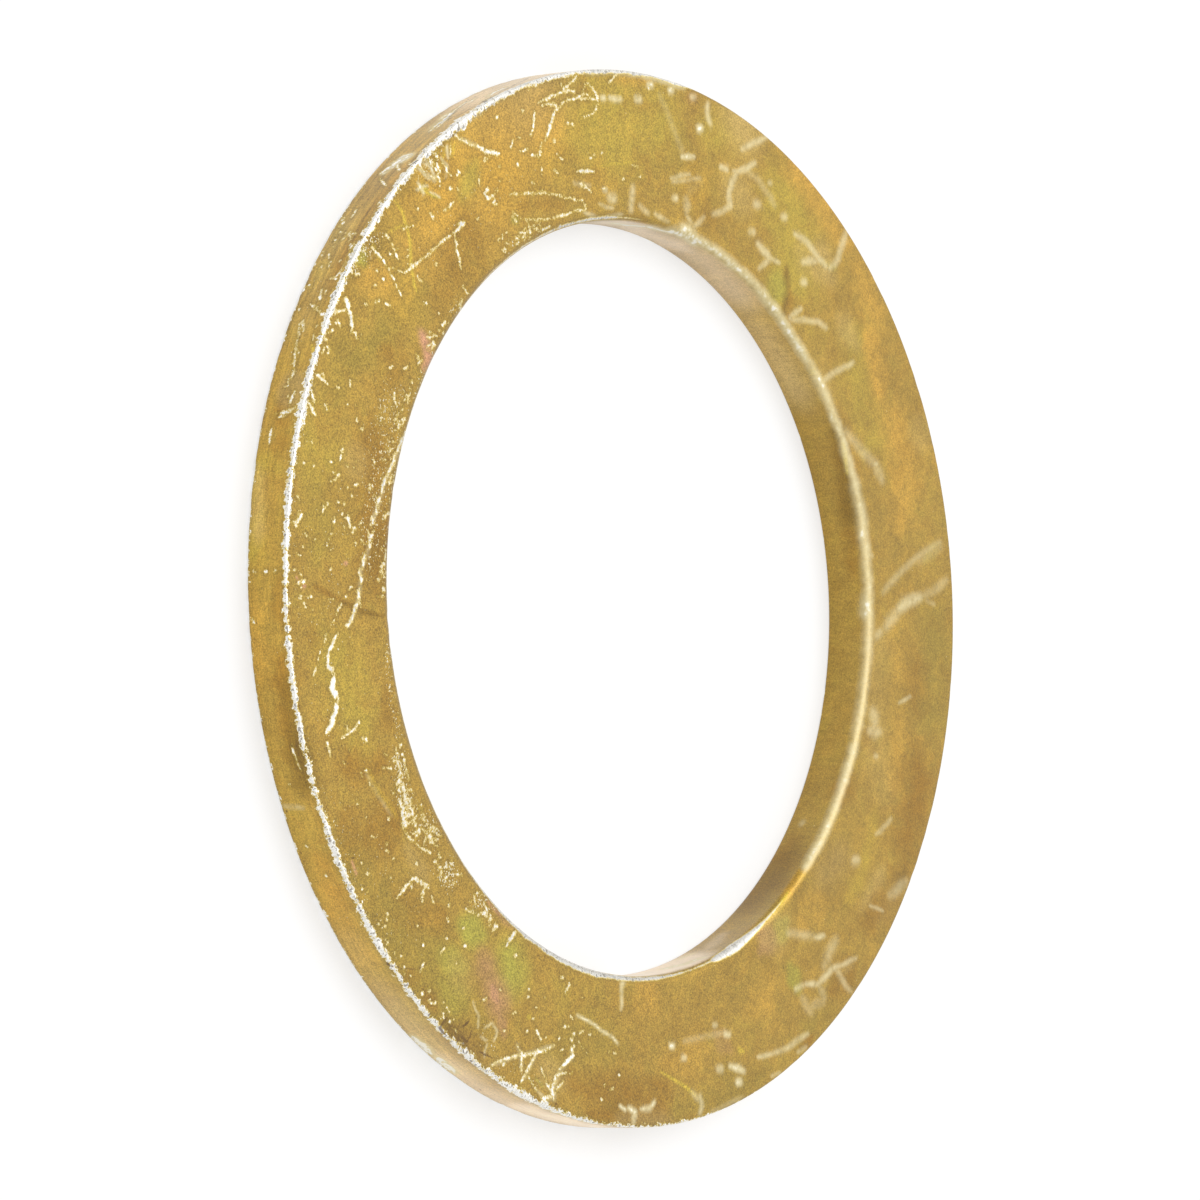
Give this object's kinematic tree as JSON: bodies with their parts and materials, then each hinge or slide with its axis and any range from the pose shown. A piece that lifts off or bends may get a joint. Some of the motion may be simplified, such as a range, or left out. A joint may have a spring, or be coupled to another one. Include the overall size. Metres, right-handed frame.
{
  "type": "flat washer",
  "caption": "Plain round flat washer of thin section with a wide bore, punched from sheet steel and yellow passivated.",
  "frame": {"origin": "centre of the ring on its bottom face, where it lies on a flat surface", "axes": "+Z along the ring's axis, towards the face that shows in the picture; +X and +Y are any two directions across it"},
  "size_m": [0.042, 0.042, 0.002],
  "materials": {
    "plating": "zinc plated steel with a yellow passivation, satin, with scratches and edges worn to bright zinc"
  },
  "bodies": {
    "root": {"flat_washer": "plating"}
  },
  "joints": []
}
